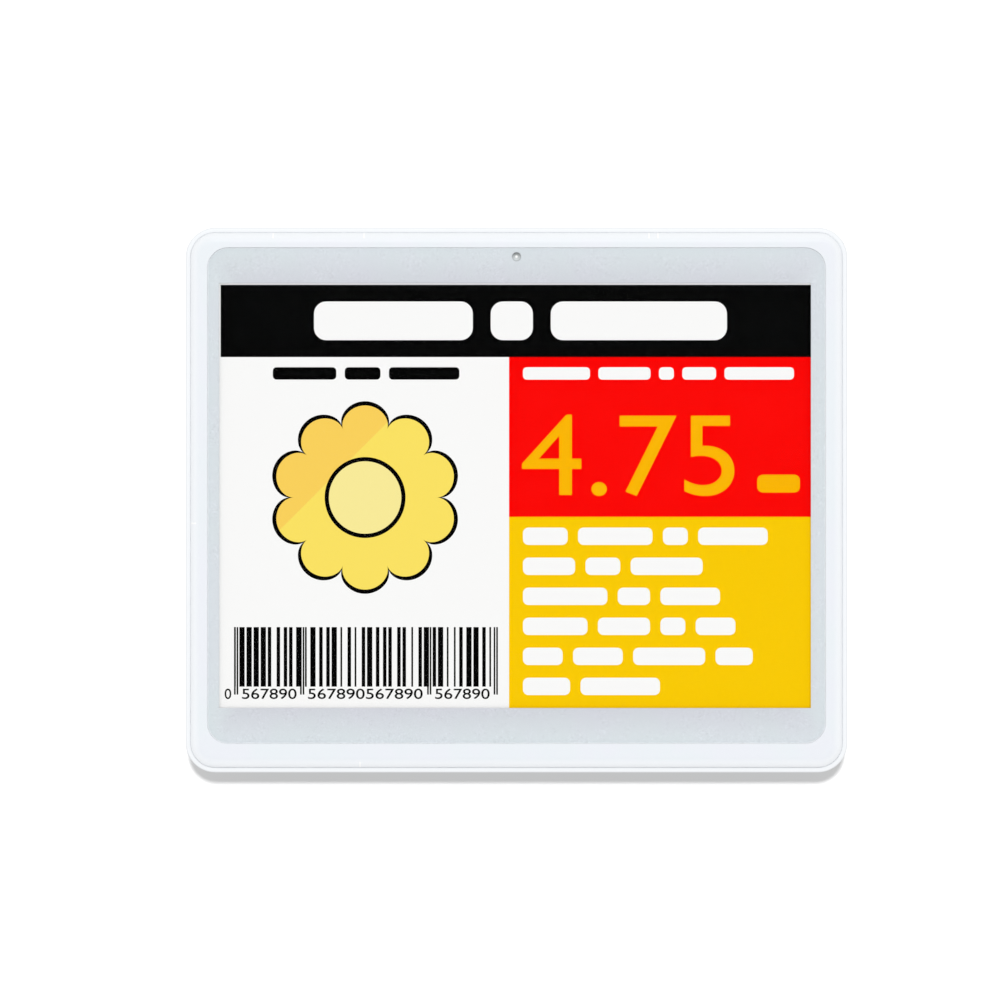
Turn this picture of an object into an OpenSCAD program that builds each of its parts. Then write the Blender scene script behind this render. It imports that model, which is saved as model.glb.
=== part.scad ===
/* [Picture and window] */
// Width of the picture area of the paper display
image_w = 118.8; // [108:0.1:130]
// Height of the picture area
image_h = 85.2; // [76:0.1:94]
// Grey border left of the picture
mask_left = 2.55; // [2.3:0.05:4]
// Grey border right of the picture
mask_right = 3.15; // [2.6:0.05:4]
// Grey border above the picture
mask_top = 7.35; // [6.8:0.05:10]
// Grey border below the picture
mask_bottom = 7.35; // [6.9:0.05:10]
// Corner radius of the window
window_r = 4.2; // [2:0.1:6]
// Thickness of the clear window
lens_t = 0.5; // [0.4:0.05:1.5]
// Depth of the window below the frame's face
lens_recess = 0.05; // [0.05:0.05:0.4]
// Gap round the window
lens_gap = 0.01; // [0.01:0.01:0.15]
// Thickness of the grey print behind the window
mask_t = 0.1; // [0.05:0.05:0.2]
// Air between the print's carrier film and the window
print_gap = 0.03; // [0.02:0.01:0.1]
// Thickness of the adhesive ring under the window
lens_tape_t = 0.1; // [0.1:0.05:0.3]

/* [Shell] */
// Width of the frame's ring left and right of the window, with the shell's rim
ring_side = 4.5; // [4.3:0.1:7]
// Width of the ring above the window
ring_top = 4.1; // [3.9:0.1:7]
// Width of the ring below the window
ring_bottom = 5.9; // [5.7:0.1:8]
// Outer corner radius of the shell
body_r = 6; // [5:0.1:9]
// Radius of the rear shell's back edge
rear_edge_r = 2.5; // [1.5:0.1:3]
// Radius of the front frame's outer edge
frame_edge_r = 2; // [1.2:0.1:2.2]
// Thickness of the rear wall
wall_t = 1.6; // [1.4:0.1:2.2]
// Thickness of the rear shell's side wall
side_wall = 2; // [1.8:0.1:2.2]
// Thickness of the thin lip that laps round the frame
lip_t = 0.95; // [0.8:0.05:1.2]
// Gap in the seam between shell and frame
seam = 0.1; // [0.05:0.05:0.2]
// Thickness of the frame's skirt
skirt_t = 1.2; // [1:0.1:1.4]
// Height of the frame's skirt below its ledge
skirt_h = 3.7; // [3:0.1:4.2]
// Thickness of the frame's ledge under the window
ledge_t = 0.6; // [0.6:0.05:1.2]
// Length of a snap lug
lug_len = 6; // [4:0.5:9]
// How far a snap lug reaches into the lip
lug_bite = 0.35; // [0.2:0.05:0.5]

/* [Display stack] */
// Glass beyond the picture at the sides and the top
glass_side = 3; // [2.9:0.05:3.2]
// Glass beyond the picture at the bottom, which carries the driver
glass_ledge = 8.5; // [8:0.1:9]
// Thickness of the display's glass
glass_t = 0.7; // [0.5:0.1:1]
// Thickness of the display's front film
film_t = 0.7; // [0.3:0.05:0.8]
// Thickness of the foam gasket
gasket_t = 0.3; // [0.2:0.05:0.5]
// Thickness of the tape behind the glass
display_tape_t = 0.2; // [0.1:0.05:0.4]
// Thickness of the carrier plate
carrier_t = 1; // [0.9:0.1:1.6]
// Width of the flexible tail
flex_w = 22; // [18:1:28]
// Thickness of the flexible tail
flex_t = 0.12; // [0.1:0.02:0.2]

/* [Light] */
// Distance of the light below the window's top edge
light_drop = 1.85; // [1.6:0.05:1.9]
// Diameter of the hole for the light
light_hole_d = 1.8; // [1.5:0.1:2]

/* [Board] */
// Thickness of the circuit board
board_t = 0.8; // [0.6:0.1:1.2]
// Board left free beside the cavity's side walls
board_margin = 5; // [4.5:0.5:8]
// Outer diameter of a screw boss
boss_d = 5; // [4.4:0.1:5.6]
// Diameter of a board screw's thread
screw_d = 1.7; // [1.6:0.1:2]

/* [Batteries] */
// Diameter of a coin cell
cell_d = 24.5; // [22.5:0.1:25]
// Thickness of a coin cell
cell_t = 5; // [4.4:0.1:5.6]
// Space between the two cells of a cassette
cell_space = 1.2; // [0.8:0.1:2]
// Wall of the cassette's cradle round the cells
cradle_wall = 1.1; // [0.9:0.1:1.4]
// Clearance between cell and cradle
cell_clear = 0.2; // [0.1:0.05:0.3]
// Clearance between the cassette and its bay
bay_clear = 0.2; // [0.15:0.05:0.3]
// Thickness of the cassette's cover
cover_t = 1.2; // [1:0.1:1.5]
// Depth of the cover below the rear face
cover_recess = 0.1; // [0.05:0.05:0.2]
// Ledge on which the cover's edge rests
bay_ledge = 1.75; // [1.2:0.05:2.2]
// Space between the two cassettes
cassette_space = 4; // [3.4:0.1:4.5]
// Height of the cassettes' middle above the body's middle
bay_y = -6; // [-9:0.5:2]
// Thickness of the link strip
link_t = 0.2; // [0.15:0.05:0.3]
// Height of a seated contact spring
contact_h = 0.6; // [0.5:0.05:0.8]

/* [Bracket slots] */
// Distance between the slots' middles, left to right
slot_spacing_x = 80; // [70:1:86]
// Distance between the slots' middles, bottom to top
slot_spacing_y = 76; // [72:1:80]
// Length of a slot from end to end
slot_len = 12; // [10:0.5:13]
// Width of a slot
slot_w = 3.6; // [3:0.1:3.8]
// Depth of the pocket behind a slot
slot_depth = 3; // [2:0.1:3.4]

/* [Hidden] */
$fn = 64;

// Colours of the pieces
shell_white = [0.95, 0.96, 0.97];
milky = [0.9, 0.93, 0.95];
clear = [0.85, 0.9, 0.93, 0.35];
mask_grey = [0.75, 0.78, 0.8];
paper_white = [0.96, 0.96, 0.94];
panel_glass = [0.6, 0.68, 0.68];
foam_black = [0.12, 0.12, 0.13];
chip_black = [0.1, 0.1, 0.11];
carrier_grey = [0.55, 0.57, 0.6];
board_green = [0.08, 0.33, 0.2];
film_amber = [0.75, 0.45, 0.1];
steel = [0.78, 0.79, 0.8];
cream = [0.9, 0.87, 0.76];

// Window, picture and body, in the plane of the front. The body's middle is the origin.
window_w = image_w + mask_left + mask_right;
window_h = image_h + mask_top + mask_bottom;
body_w = window_w + 2 * ring_side;
body_h = window_h + ring_top + ring_bottom;
window_y = (ring_bottom - ring_top) / 2;
image_x = (mask_left - mask_right) / 2;
image_y = window_y + (mask_bottom - mask_top) / 2;
light_y = window_y + window_h / 2 - light_drop;

// Outlines of the frame and of the space inside its skirt
frame_w = body_w - 2 * (lip_t + seam);
frame_h = body_h - 2 * (lip_t + seam);
frame_r = body_r - lip_t - seam;
cavity_w = frame_w - 2 * skirt_t;
cavity_h = frame_h - 2 * skirt_t;
cavity_r = frame_r - skirt_t;

// The stack from the rear face to the front face
cell_z = cover_recess + cover_t + link_t;
board_z = cell_z + cell_t + contact_h;
carrier_z = board_z + board_t;
display_tape_z = carrier_z + carrier_t;
glass_z = display_tape_z + display_tape_t;
film_z = glass_z + glass_t;
ledge_z = film_z + gasket_t;
lens_tape_z = ledge_z + ledge_t;
mask_z = lens_tape_z + lens_tape_t;
lens_z = mask_z + mask_t + print_gap;
body_d = lens_z + lens_t + lens_recess;

// Rim, shoulder and skirt of the lap joint, and the land on the skirt that closes the seam under the rim
rim_drop = 0.1;
rim_r = 0.35;
rim_z = body_d - frame_edge_r - rim_drop;
land_drop = 0.1;
land_h = 0.8;
land_gap = 0.01;
skirt_z = ledge_z - skirt_h;
shoulder_z = skirt_z - 0.2;

// Snap lugs of the frame and their pockets in the lip
lug_x = [-0.368, -0.228, 0.208, 0.368] * body_w;
lug_y = [-0.33, -0.04, 0.33] * body_h;
lug_z = skirt_z + 0.6;
lug_h = 0.9;
lug_clear = 0.15;

// How much larger than the picture each ring under the window is, on each side
aperture_reveal = 0.2;
film_reveal = 0.6;
ledge_reveal = 0.9;
gasket_inner_reveal = 1.1;
gasket_outer_reveal = glass_side - 0.2;
tape_inset = 0.3;

// Glass of the display
glass_w = image_w + 2 * glass_side;
glass_h = image_h + glass_side + glass_ledge;
glass_y = image_y + (glass_side - glass_ledge) / 2;
glass_low_y = glass_y - glass_h / 2;
carrier_gap = 0.2;
carrier_rim = 0.8;
carrier_rim_h = 0.7;

// Board, its screws and its bosses
board_w = cavity_w - 2 * board_margin;
board_top = light_y + 1.8;
board_low = glass_low_y + 2.2;
board_h = board_top - board_low;
board_y = (board_top + board_low) / 2;
screw_inset_x = 4.5;
screw_inset_y = 6.8;
screw_x = board_w / 2 - screw_inset_x;
screw_high_y = board_top - screw_inset_y;
screw_low_y = board_low + screw_inset_y;
screw_spots = [
    [-screw_x, screw_high_y], [screw_x, screw_high_y],
    [-screw_x, screw_low_y], [screw_x, screw_low_y]
];
screw_play = 0.05;
screw_head_d = 3.8;
screw_head_h = 0.85;

// Battery cassettes and their bays
cell_pitch = cell_d + cell_space;
cradle_w = cell_pitch + cell_d + 2 * (cell_clear + cradle_wall);
cradle_h = cell_d + 2 * (cell_clear + cradle_wall);
cradle_r = 3;
cradle_top_z = cell_z + 0.7 * cell_t;
sleeve_w = cradle_w + 2 * bay_clear;
sleeve_h = cradle_h + 2 * bay_clear;
sleeve_wall = 1.2;
sleeve_top_z = cell_z + 0.8 * cell_t;
cover_gap = 0.15;
cover_w = sleeve_w + 2 * (bay_ledge - cover_gap);
cover_h = sleeve_h + 2 * (bay_ledge - cover_gap);
cover_r = 3;
cover_edge_r = 0.3;
cover_top_z = cover_recess + cover_t;
bay_seat_z = cover_top_z + 0.05;
collar_wall = 1.3;
collar_top_z = bay_seat_z + 1.2;
cassette_x = (cover_w + cassette_space) / 2;

// Flexible tail: from the glass's lower edge round to the connector behind the board
connector_h = 1;
connector_len = 4;
connector_y = board_low + connector_len / 2 + 0.6;
flex_top_z = film_z + flex_t;
flex_back_z = board_z - 0.55;
flex_bend_r = (flex_top_z - flex_back_z) / 2;
flex_bond = 1.8;
flex_reach = 1.4;

// Stands the flat model up: its height becomes +Z and its front looks along -Y
module upright() {
    rotate([90, 0, 0])
        children();
}

// A rounded rectangle round the origin
module rounded_outline(w, h, r) {
    square([w - 2 * r, h], center = true);
    square([w, h - 2 * r], center = true);
    for (sx = [-1, 1], sy = [-1, 1])
        translate([sx * (w / 2 - r), sy * (h / 2 - r)])
            circle(r);
}

// A rounded plate from height z0 to height z1
module plate(w, h, r, z0, z1) {
    translate([0, 0, z0])
        linear_extrude(z1 - z0)
            rounded_outline(w, h, r);
}

// A plain block from height z0 to height z1
module block(w, h, z0, z1) {
    translate([-w / 2, -h / 2, z0])
        cube([w, h, z1 - z0]);
}

// Carries a profile round a rounded rectangle. The profile's x runs outward from the corners' centres.
module carried_round(w, h, r) {
    for (turn = [0, 180]) {
        rotate([0, 0, turn])
            translate([w / 2 - r, h / 2 - r, 0]) {
                rotate_extrude(angle = 90)
                    children();
                rotate([90, 0, 0])
                    linear_extrude(h - 2 * r)
                        children();
            }
        rotate([0, 0, turn])
            translate([r - w / 2, h / 2 - r, 0])
                rotate([0, 0, 90]) {
                    rotate_extrude(angle = 90)
                        children();
                    rotate([90, 0, 0])
                        linear_extrude(w - 2 * r)
                            children();
                }
    }
}

// A quarter disc, its centre e inside the outline at height z, that opens up or down
module quarter_disc(r, e, z, up) {
    intersection() {
        translate([r - e, z])
            circle(e);
        translate([r - e, up ? z : z - e])
            square(e);
    }
}

// A rounded plate whose back or front edge is rounded too
module soft_plate(w, h, r, z0, z1, back = 0, front = 0) {
    plate(w, h, r, z0 + back, z1 - front);
    if (back > 0) {
        plate(w - 2 * back, h - 2 * back, r - back, z0, z0 + back);
        carried_round(w, h, r)
            quarter_disc(r, back, z0 + back, false);
    }
    if (front > 0) {
        plate(w - 2 * front, h - 2 * front, r - front, z1 - front, z1);
        carried_round(w, h, r)
            quarter_disc(r, front, z1 - front, true);
    }
}

// An upright round bar or hole from height z0 to height z1
module rod(d, z0, z1) {
    translate([0, 0, z0])
        cylinder(h = z1 - z0, d = d);
}

// A slot with round ends along x
module long_slot(len, w, z0, z1) {
    translate([0, 0, z0])
        linear_extrude(z1 - z0) {
            square([len - w, w], center = true);
            for (s = [-1, 1])
                translate([s * (len - w) / 2, 0])
                    circle(w / 2);
        }
}

// Puts children on the four sides of a rectangle, with their x pointing outward
module on_sides(w, h, xs, ys) {
    for (x = xs, s = [-1, 1])
        translate([x, s * h / 2, 0])
            rotate([0, 0, s * 90])
                children();
    for (y = ys, s = [0, 1])
        translate([(s - 0.5) * w, y, 0])
            rotate([0, 0, 180 - s * 180])
                children();
}

// Middle of each bracket slot
module at_slots() {
    for (sx = [-1, 1], sy = [-1, 1])
        translate([sx * slot_spacing_x / 2, sy * slot_spacing_y / 2, 0])
            children();
}

module at_screws() {
    for (spot = screw_spots)
        translate([spot[0], spot[1], 0])
            children();
}

// Middle of each cassette: side is -1 on the left and 1 on the right
module at_cassette(side) {
    translate([side * cassette_x, bay_y, 0])
        children();
}

module at_window() {
    translate([0, window_y, 0])
        children();
}

module at_image() {
    translate([image_x, image_y, 0])
        children();
}

module at_light() {
    translate([0, light_y, 0])
        children();
}

// A rectangular opening round the picture, larger by reveal on each side
module picture_opening(reveal, z0, z1) {
    at_image()
        block(image_w + 2 * reveal, image_h + 2 * reveal, z0, z1);
}

// Rear shell: the outer tub, before anything is added inside
module shell_tub() {
    difference() {
        soft_plate(body_w, body_h, body_r, 0, rim_z, rear_edge_r, rim_r);
        plate(body_w - 2 * side_wall, body_h - 2 * side_wall, body_r - side_wall, wall_t, rim_z + 1);
        plate(body_w - 2 * lip_t, body_h - 2 * lip_t, body_r - lip_t, shoulder_z, rim_z + 1);
    }
}

// The walls round one battery bay, solid until the bay is cut
module bay_walls() {
    collar_w = cover_w + 2 * (cover_gap + collar_wall);
    collar_h = cover_h + 2 * (cover_gap + collar_wall);
    plate(collar_w, collar_h, cover_r + cover_gap + collar_wall, wall_t / 2, collar_top_z);
    plate(sleeve_w + 2 * sleeve_wall, sleeve_h + 2 * sleeve_wall, cradle_r + bay_clear + sleeve_wall,
        wall_t / 2, sleeve_top_z);
}

// One battery bay: the cover's seat, the sleeve and a scoop for a fingernail at its top and bottom
nail_r = 7;
nail_depth = 0.9;
module bay_cut() {
    plate(cover_w + 2 * cover_gap, cover_h + 2 * cover_gap, cover_r + cover_gap, -1, bay_seat_z);
    plate(sleeve_w, sleeve_h, cradle_r + bay_clear, -1, body_d);
    for (s = [-1, 1])
        translate([0, s * (cover_h / 2 + cover_gap), nail_depth - nail_r])
            sphere(nail_r);
}

// The pocket behind a bracket slot, which a bracket's hook turns into
pocket_w = slot_len + 3;
pocket_h = slot_w + 3.4;
pocket_wall = 1.1;
pocket_floor = 0.9;
module slot_pocket() {
    plate(pocket_w + 2 * pocket_wall, pocket_h + 2 * pocket_wall, 2, wall_t / 2,
        wall_t + slot_depth + pocket_floor);
}

module slot_cut() {
    long_slot(slot_len, slot_w, -1, wall_t + 1);
    plate(pocket_w, pocket_h, 1, wall_t, wall_t + slot_depth);
}

// Low ribs that stiffen the rear wall above and below the bays
rib_t = 1;
rib_h = 1.3;
rib_spots = [-0.16, 0, 0.16] * body_w;
bay_reach = cover_h / 2 + cover_gap + collar_wall;
module stiffening_ribs() {
    inner_top = body_h / 2 - side_wall;
    for (x = rib_spots) {
        translate([x - rib_t / 2, bay_y + bay_reach - 0.5, wall_t / 2])
            cube([rib_t, inner_top - bay_y - bay_reach + 1, wall_t / 2 + rib_h]);
        translate([x - rib_t / 2, 0.5 - inner_top - 1, wall_t / 2])
            cube([rib_t, inner_top + bay_y - bay_reach + 1, wall_t / 2 + rib_h]);
    }
}

// Posts beside the board that carry the display carrier
post_w = 2;
post_len = 9;
module carrier_posts() {
    x = cavity_w / 2 - post_w / 2 - 0.3;
    for (sx = [-1, 1], y = [-0.3, 0.25] * body_h)
        translate([sx * x, y, 0])
            block(post_w, post_len, wall_t / 2, carrier_z);
}

module rear_housing() {
    color(shell_white)
        upright()
            difference() {
                union() {
                    shell_tub();
                    for (side = [-1, 1])
                        at_cassette(side)
                            bay_walls();
                    at_slots()
                        slot_pocket();
                    at_screws()
                        rod(boss_d, wall_t / 2, board_z);
                    stiffening_ribs();
                    carrier_posts();
                }
                for (side = [-1, 1])
                    at_cassette(side)
                        bay_cut();
                at_slots()
                    slot_cut();
                at_screws()
                    rod(screw_d + 2 * screw_play, wall_t + 0.6, board_z + 1);
                on_sides(body_w - 2 * lip_t, body_h - 2 * lip_t, lug_x, lug_y)
                    translate([-1, -lug_len / 2 - lug_clear, lug_z - lug_clear])
                        cube([1 + lug_bite + lug_clear, lug_len + 2 * lug_clear, lug_h + 2 * lug_clear]);
            }
}

// A snap lug: a wedge that leads in towards the rear
module snap_lug() {
    out = seam + lug_bite;
    rotate([90, 0, 0])
        linear_extrude(lug_len, center = true)
            polygon([[-0.2, 0], [0, 0], [out, 0.6 * lug_h], [out, lug_h], [-0.2, lug_h]]);
}

// A low land all round the skirt, so the seam is only a shallow groove
module seam_land() {
    proud = seam - land_gap;
    carried_round(frame_w + 2 * proud, frame_h + 2 * proud, frame_r + proud)
        translate([frame_r - 0.2, rim_z - land_drop - land_h])
            square([proud + 0.2, land_h]);
}

// The small slope round the front of the window's opening
opening_slope = 0.06;
module opening_bevel() {
    w = window_w + 2 * lens_gap;
    h = window_h + 2 * lens_gap;
    r = window_r + lens_gap;
    carried_round(w, h, r)
        polygon([
            [r - 0.1, body_d - opening_slope], [r, body_d - opening_slope],
            [r + opening_slope, body_d], [r + opening_slope, body_d + 0.1], [r - 0.1, body_d + 0.1]
        ]);
}

module front_frame() {
    color(milky)
        upright()
            difference() {
                union() {
                    difference() {
                        soft_plate(frame_w, frame_h, frame_r, skirt_z, body_d, 0, frame_edge_r);
                        plate(cavity_w, cavity_h, cavity_r, skirt_z - 1, ledge_z);
                    }
                    seam_land();
                    translate([0, 0, lug_z])
                        on_sides(frame_w, frame_h, lug_x, lug_y)
                            snap_lug();
                }
                at_window() {
                    plate(window_w + 2 * lens_gap, window_h + 2 * lens_gap, window_r + lens_gap,
                        lens_tape_z, body_d + 1);
                    opening_bevel();
                }
                picture_opening(ledge_reveal, ledge_z - 1, body_d);
                at_light()
                    rod(light_hole_d, ledge_z - 1, body_d);
            }
}

lens_edge_r = 0.12;
module window_lens() {
    color(clear)
        upright()
            difference() {
                at_window()
                    soft_plate(window_w, window_h, window_r, lens_z, lens_z + lens_t, 0, lens_edge_r);
                at_light()
                    rod(light_hole_d, lens_z - 1, body_d);
            }
}

module mask_print() {
    color(mask_grey)
        upright()
            difference() {
                at_window()
                    plate(window_w, window_h, window_r, mask_z, mask_z + mask_t);
                picture_opening(aperture_reveal, mask_z - 1, lens_z + 1);
                at_light()
                    rod(light_hole_d, mask_z - 1, body_d);
            }
}

module lens_tape() {
    color(foam_black)
        upright()
            difference() {
                at_window()
                    plate(window_w - 2 * tape_inset, window_h - 2 * tape_inset, window_r - tape_inset,
                        lens_tape_z, mask_z);
                picture_opening(ledge_reveal + tape_inset, lens_tape_z - 1, mask_z + 1);
                at_light()
                    rod(light_hole_d + 2 * tape_inset, lens_tape_z - 1, body_d);
            }
}

module display_gasket() {
    color(foam_black)
        upright()
            difference() {
                picture_opening(gasket_outer_reveal, film_z, ledge_z);
                picture_opening(gasket_inner_reveal, film_z - 1, ledge_z + 1);
            }
}

module display_film() {
    color(paper_white)
        upright()
            at_image()
                plate(image_w + 2 * film_reveal, image_h + 2 * film_reveal, 0.4, film_z, film_z + film_t);
}

module display_glass() {
    color(panel_glass)
        upright()
            translate([image_x, glass_y, 0])
                plate(glass_w, glass_h, 0.3, glass_z, film_z);
}

// The bare driver chip lies across the glass's lower ledge, halfway to the tail
driver_w = 18;
driver_h = 1.2;
driver_t = 0.28;
driver_y = glass_low_y + flex_bond + driver_h + 0.6;
module driver_chip() {
    color(chip_black)
        upright()
            translate([image_x, driver_y, 0])
                block(driver_w, driver_h, film_z, film_z + driver_t);
}

// The tail: a strip on the glass, a half turn round its edge and a strip into the connector
module display_flex() {
    flex_end_y = connector_y - connector_len / 2 + flex_reach;
    color(film_amber)
        upright()
            translate([image_x, 0, 0]) {
                translate([-flex_w / 2, glass_low_y, film_z])
                    cube([flex_w, flex_bond, flex_t]);
                translate([-flex_w / 2, glass_low_y, flex_back_z])
                    cube([flex_w, flex_end_y - glass_low_y, flex_t]);
                translate([-flex_w / 2, glass_low_y, flex_back_z + flex_bend_r])
                    rotate([0, 90, 0])
                        linear_extrude(flex_w)
                            difference() {
                                circle(flex_bend_r);
                                circle(flex_bend_r - flex_t);
                                translate([-2 * flex_bend_r, 0])
                                    square(4 * flex_bend_r);
                            }
            }
}

module display_tape() {
    color(foam_black)
        upright()
            difference() {
                translate([image_x, glass_y, 0])
                    plate(glass_w - 2, glass_h - 2, 1, display_tape_z, glass_z);
                carrier_windows(display_tape_z - 1, glass_z + 1, 1);
            }
}

// Four openings that lighten the carrier, with a web between them
web = 8;
carrier_border = 12;
module carrier_windows(z0, z1, grow) {
    w = (glass_w - 2 * carrier_border - web) / 2;
    h = (glass_h - 2 * carrier_border - web) / 2;
    for (sx = [-1, 1], sy = [-1, 1])
        translate([image_x + sx * (w + web) / 2, glass_y + sy * (h + web) / 2, 0])
            plate(w + 2 * grow, h + 2 * grow, 3, z0, z1);
}

module display_carrier() {
    rim_w = glass_w + 2 * (carrier_gap + carrier_rim);
    rim_h = glass_h + 2 * (carrier_gap + carrier_rim);
    fit = 0.2;
    color(carrier_grey)
        upright()
            difference() {
                union() {
                    plate(cavity_w - 2 * fit, cavity_h - 2 * fit, cavity_r - fit, carrier_z, display_tape_z);
                    difference() {
                        translate([image_x, glass_y, 0])
                            plate(rim_w, rim_h, carrier_rim, carrier_z, display_tape_z + carrier_rim_h);
                        translate([image_x, glass_y, 0])
                            block(glass_w + 2 * carrier_gap, glass_h + 2 * carrier_gap, carrier_z, film_z);
                    }
                }
                carrier_windows(carrier_z - 1, film_z, 0);
                at_screws()
                    rod(screw_head_d + 1, carrier_z - 1, film_z);
                at_light()
                    rod(4, carrier_z - 1, film_z);
                translate([image_x, glass_low_y - cavity_h / 2, 0])
                    block(flex_w + 2, cavity_h, carrier_z - 1, film_z);
            }
}

module circuit_board() {
    color(board_green)
        upright()
            difference() {
                translate([0, board_y, 0])
                    plate(board_w, board_h, 1.5, board_z, carrier_z);
                at_screws()
                    rod(screw_d + 0.5, board_z - 1, carrier_z + 1);
            }
}

// Pan-head screws driven from the front side of the board, with a cross recess
module board_screws() {
    color(steel)
        upright()
            at_screws()
                difference() {
                    union() {
                        rod(screw_d, wall_t + 1, carrier_z);
                        soft_round(screw_head_d, carrier_z, carrier_z + screw_head_h, 0.3);
                    }
                    for (turn = [0, 90])
                        rotate([0, 0, turn])
                            block(2, 0.4, carrier_z + 0.35, carrier_z + 2);
                }
}

// A disc with a rounded front edge
module soft_round(d, z0, z1, e) {
    rotate_extrude() {
        translate([0, z0])
            square([d / 2 - e, z1 - z0]);
        translate([0, z0])
            square([d / 2, z1 - z0 - e]);
        translate([d / 2 - e, z1 - e])
            intersection() {
                circle(e);
                square(e);
            }
    }
}

// Parts on the back of the board hang from its rear face: h is how far they stand off it
module on_board(x, y, h) {
    translate([x, y, board_z - h])
        children();
}

// The parts lie in rows above the battery bays, round the radio chip in the middle
chip_row_drop = 24;
chip_row_y = board_top - chip_row_drop;
part_space = 2.5;
coil_space = 7;
radio_side = 7;
radio_h = 0.9;
radio_dot_d = 0.6;
module radio_chip() {
    dot = radio_side / 2 - 1.3 * radio_dot_d;
    color(chip_black)
        upright()
            on_board(0, chip_row_y, radio_h)
                difference() {
                    block(radio_side, radio_side, 0, radio_h);
                    translate([-dot, dot, 0])
                        rod(radio_dot_d, -1, 0.1);
                }
}

// An eight-lead memory chip: its leads stand on the board and hold its case clear of it
memory_w = 4;
memory_l = 5;
memory_h = 1.5;
lead_w = 0.4;
lead_reach = 1;
lead_pitch = 1.27;
module memory_chip() {
    color(chip_black)
        upright()
            on_board(radio_side / 2 + 2 * part_space + memory_w / 2, chip_row_y, memory_h) {
                block(memory_w, memory_l, 0, 0.87 * memory_h);
                for (sx = [-1, 1], k = [-1.5 : 1.5])
                    translate([sx * (memory_w + lead_reach) / 2, k * lead_pitch, 0])
                        block(lead_reach + 0.02, lead_w, 0.6 * memory_h, memory_h);
            }
}

// A shielded coil with rounded corners and a round top
coil_side = 5;
coil_h = 2.8;
module boost_coil() {
    color(chip_black)
        upright()
            on_board(-radio_side / 2 - coil_space - coil_side / 2, chip_row_y, coil_h) {
                rod(0.88 * coil_side, 0, 0.2 * coil_h);
                plate(coil_side, coil_side, 0.16 * coil_side, 0.2 * coil_h, coil_h);
            }
}

// The radio's crystal and the smaller clock crystal, side by side above the radio chip
crystal_w = 3.2;
crystal_l = 2.5;
crystal_h = 0.8;
clock_scale = 0.63;
module crystals() {
    row_y = chip_row_y + radio_side / 2 + part_space + crystal_l / 2;
    color(steel)
        upright() {
            on_board(-crystal_w, row_y, crystal_h)
                plate(crystal_w, crystal_l, 0.4, 0, crystal_h);
            on_board(crystal_w, row_y, crystal_h)
                plate(clock_scale * crystal_w, clock_scale * crystal_l, 0.3, 0, crystal_h);
        }
}

// A chip capacitor with raised metal ends
module chip_part(len, w, h) {
    block(0.6 * len, 0.92 * w, 0.04, h);
    for (s = [-1, 1])
        translate([s * 0.4 * len, 0, 0])
            block(0.2 * len, w, 0, h);
}

// Two rows of small parts below the radio chip and a column of larger ones beside the coil
small_len = 1.6;
small_w = 0.8;
large_len = 3.2;
large_w = 2.5;
large_h = 1.6;
module capacitors() {
    step_x = small_len + 1;
    step_y = small_w + 1.4;
    row_y = chip_row_y - radio_side / 2 - part_space;
    column_x = -radio_side / 2 - coil_space - coil_side - part_space - large_len / 2;
    color(cream)
        upright() {
            for (row = [0, 1], k = [-2.5 : 2.5])
                on_board(k * step_x, row_y - row * step_y, small_w)
                    chip_part(small_len, small_w, small_w);
            for (k = [-1, 0, 1])
                on_board(column_x, chip_row_y + k * (large_w + 1.5), large_h)
                    chip_part(large_len, large_w, large_h);
        }
}

// The tail's connector, with its slot open to the board's lower edge and a locking bar along it
module flex_connector() {
    color(cream)
        upright()
            translate([image_x, connector_y, board_z - connector_h])
                difference() {
                    union() {
                        translate([0, 0.4, 0])
                            block(flex_w + 2.4, connector_len - 0.8, 0, connector_h);
                        translate([0, -connector_len / 2 + 0.6, 0])
                            block(flex_w + 1.6, 1.2, 0, connector_h);
                    }
                    translate([0, flex_reach - connector_len, 0])
                        block(flex_w + 0.4, connector_len + 0.4, connector_h - 0.6,
                            connector_h - 0.55 + flex_t + 0.05);
                }
}

// A stamped antenna on two feet, between the upper bracket slots' pockets
antenna_w = 18;
antenna_h = 4;
antenna_t = 0.25;
antenna_stand = 3;
antenna_foot = 2;
module board_antenna() {
    pocket_side = slot_spacing_x / 2 - pocket_w / 2 - pocket_wall;
    color(steel)
        upright()
            on_board(antenna_w / 2 + 2 - pocket_side, board_top - antenna_h, antenna_stand) {
                block(antenna_w, antenna_h, 0, antenna_t);
                for (x = [antenna_t / 2, antenna_h])
                    translate([x - antenna_w / 2, 0, 0])
                        block(antenna_t, antenna_foot, 0, antenna_stand);
            }
}

led_w = 1.6;
led_l = 0.8;
led_h = 0.6;
module indicator_led() {
    color(cream)
        upright()
            at_light() {
                block(led_w, led_l, carrier_z, carrier_z + led_h / 2);
                block(0.7 * led_w, led_l, carrier_z, carrier_z + led_h);
            }
}

// The light pipe: a stem through the ledge, print and window, a flange under the ledge and a domed end
pipe_play = 0.05;
pipe_dome = 0.35;
module light_pipe() {
    stem_d = light_hole_d - 2 * pipe_play;
    end_z = lens_z + lens_t - 0.2;
    color(clear)
        upright()
            at_light() {
                rod(stem_d, carrier_z + led_h + 0.1, end_z - pipe_dome);
                rod(stem_d + 0.8, ledge_z - 0.6, ledge_z);
                translate([0, 0, end_z - pipe_dome])
                    shallow_dome(stem_d, pipe_dome);
            }
}

// A shallow dome of diameter d and height h on its flat side
module shallow_dome(d, h) {
    ball_r = (d * d / 4 + h * h) / (2 * h);
    intersection() {
        translate([0, 0, h - ball_r])
            sphere(ball_r);
        rod(d, 0, h);
    }
}

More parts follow.
